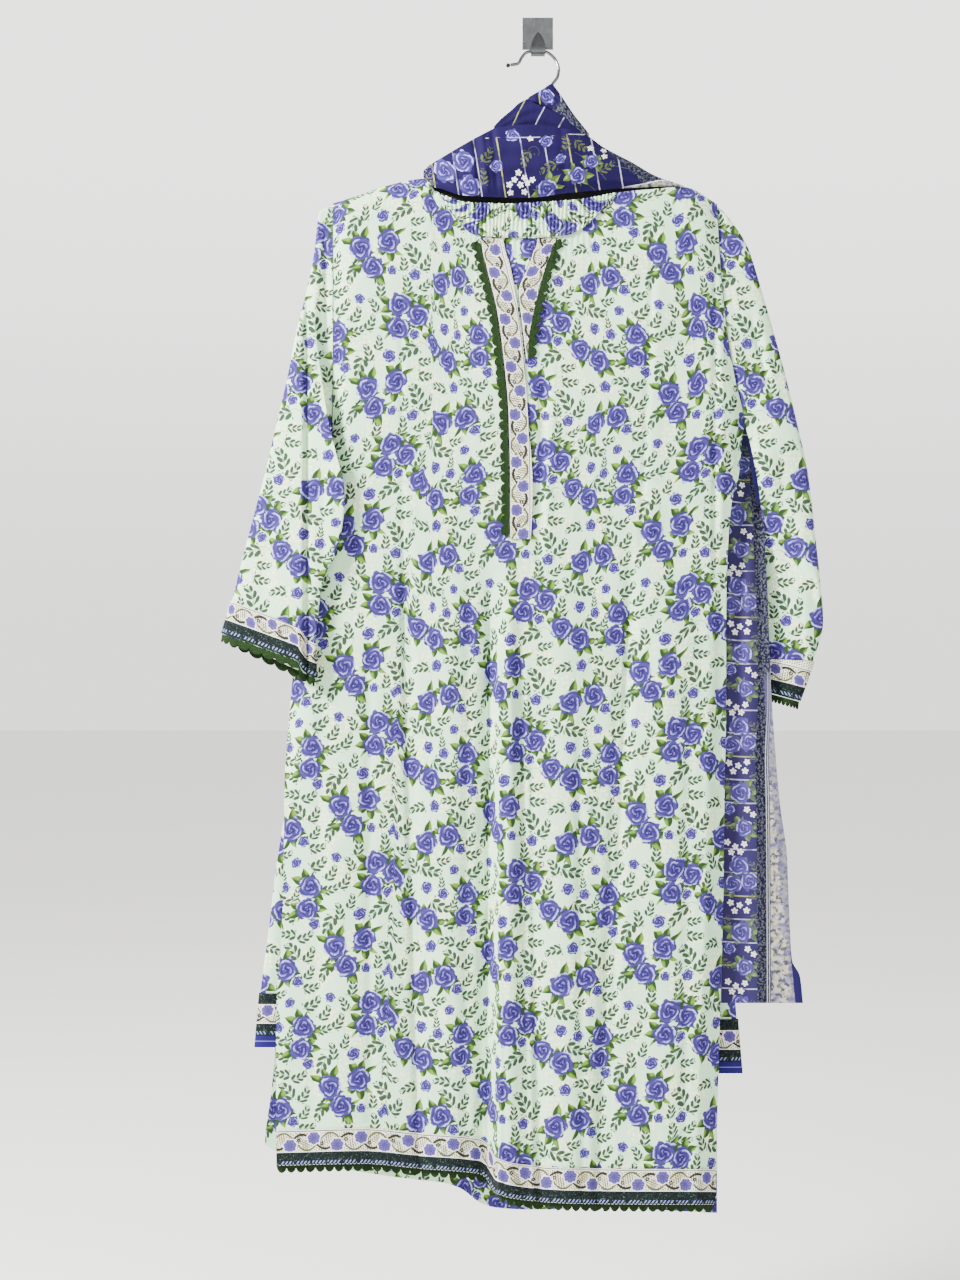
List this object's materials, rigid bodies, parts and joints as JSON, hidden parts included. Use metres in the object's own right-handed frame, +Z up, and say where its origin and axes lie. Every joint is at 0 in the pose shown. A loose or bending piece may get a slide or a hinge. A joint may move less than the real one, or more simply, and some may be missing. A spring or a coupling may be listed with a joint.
{
  "type": "three-piece salwar kameez suit on a clothes hanger and wall hook",
  "caption": "Printed knee-length tunic with trimmed cuffs and hem, straight trousers and a long scarf, hung together on a hanger from a small wall hook.",
  "frame": {"origin": "centre of the back face of the wall hook's plate, on the wall", "axes": "+Y out of the plate's back, into the wall; +Z up; +X to the right for a viewer who faces the suit"},
  "size_m": [0.6115, 0.0569, 1.2231],
  "materials": {
    "mint_floral": "matte printed cotton lawn, pale mint with violet-blue roses",
    "vine_border": "matte printed cotton, vine border with a dark speckled edge",
    "trouser_border": "matte printed cotton, vine border between dark bands",
    "green_lace": "dark green scalloped cotton lace",
    "mint_casing": "matte printed cotton over elastic",
    "navy_dupatta": "light printed lawn, navy with violet roses and fine lines",
    "brushed_steel": "brushed",
    "chrome_wire": "bright chrome wire",
    "black_plastic": "matt black"
  },
  "bodies": {
    "root": {"kameez_front": "mint_floral", "kameez_back": "mint_floral", "neck_band": "mint_floral", "sleeve_left": "mint_floral", "sleeve_right": "mint_floral", "trousers_leg_left": "mint_floral", "trousers_leg_right": "mint_floral", "hem_border": "vine_border", "cuff_border_left": "vine_border", "cuff_border_right": "vine_border", "placket_left": "vine_border", "placket_right": "vine_border", "trousers_hem_left": "trouser_border", "trousers_hem_right": "trouser_border", "hem_lace": "green_lace", "cuff_lace_left": "green_lace", "cuff_lace_right": "green_lace", "placket_lace_left": "green_lace", "placket_lace_right": "green_lace", "trousers_waist": "mint_casing", "dupatta_front": "navy_dupatta", "dupatta_roll": "navy_dupatta", "dupatta_top": "navy_dupatta", "dupatta_back": "navy_dupatta", "dupatta_link": "navy_dupatta", "dupatta_tail_right": "navy_dupatta", "dupatta_tail_left": "navy_dupatta", "wall_plate": "brushed_steel", "wall_hook": "brushed_steel", "hanger_hook": "chrome_wire", "hanger_hook_tip": "black_plastic", "hanger_body": "black_plastic", "hanger_bar": "black_plastic"}
  },
  "joints": []
}
